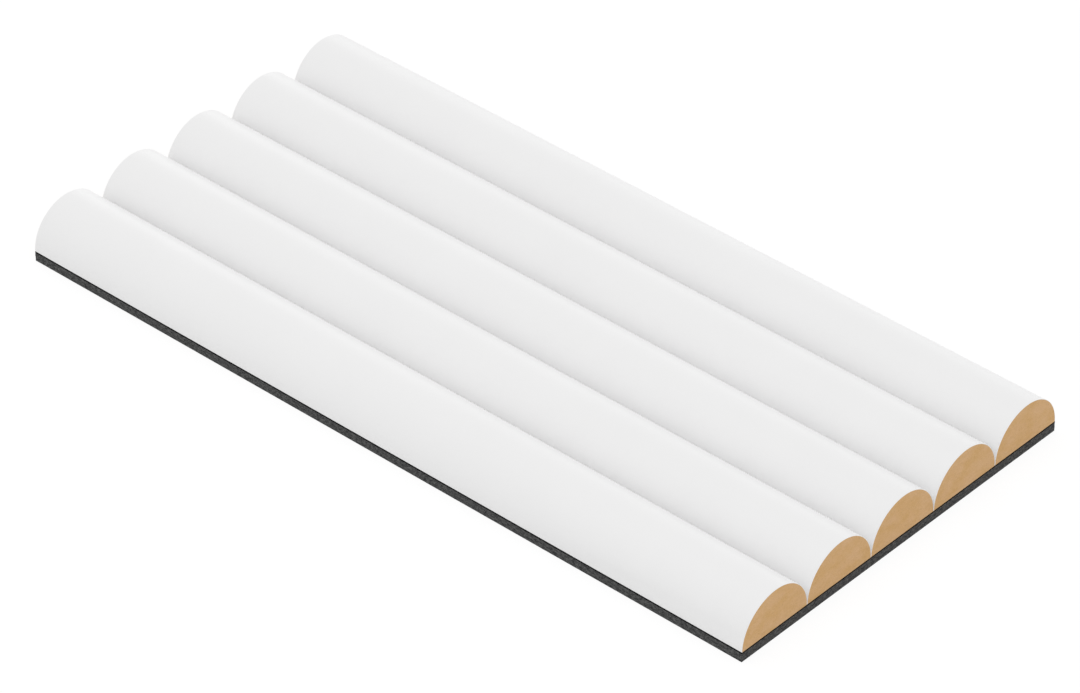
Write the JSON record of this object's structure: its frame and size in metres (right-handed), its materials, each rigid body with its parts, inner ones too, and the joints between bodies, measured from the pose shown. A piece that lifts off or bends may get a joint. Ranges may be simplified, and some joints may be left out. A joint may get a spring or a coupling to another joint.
{
  "type": "fluted wall panel",
  "caption": "Fluted wall panel: half-round white foil-wrapped fibreboard slats side by side on a dark grey felt backing.",
  "frame": {"origin": "middle of the felt's underside, the face that goes against the wall", "axes": "+Y along the slats, +X across them, +Z out of the flutes, away from the wall; stored lying on its felt"},
  "size_m": [0.2, 0.4, 0.0249],
  "materials": {
    "white_foil": "matte",
    "fibreboard": "matte",
    "grey_felt": "matte",
    "black_film": "matte"
  },
  "bodies": {
    "root": {"felt_backing": "grey_felt", "adhesive_film": "black_film", "slat_core_1": "fibreboard", "slat_core_2": "fibreboard", "slat_core_3": "fibreboard", "slat_core_4": "fibreboard", "slat_core_5": "fibreboard", "slat_foil_1": "white_foil", "slat_foil_2": "white_foil", "slat_foil_3": "white_foil", "slat_foil_4": "white_foil", "slat_foil_5": "white_foil"}
  },
  "joints": []
}
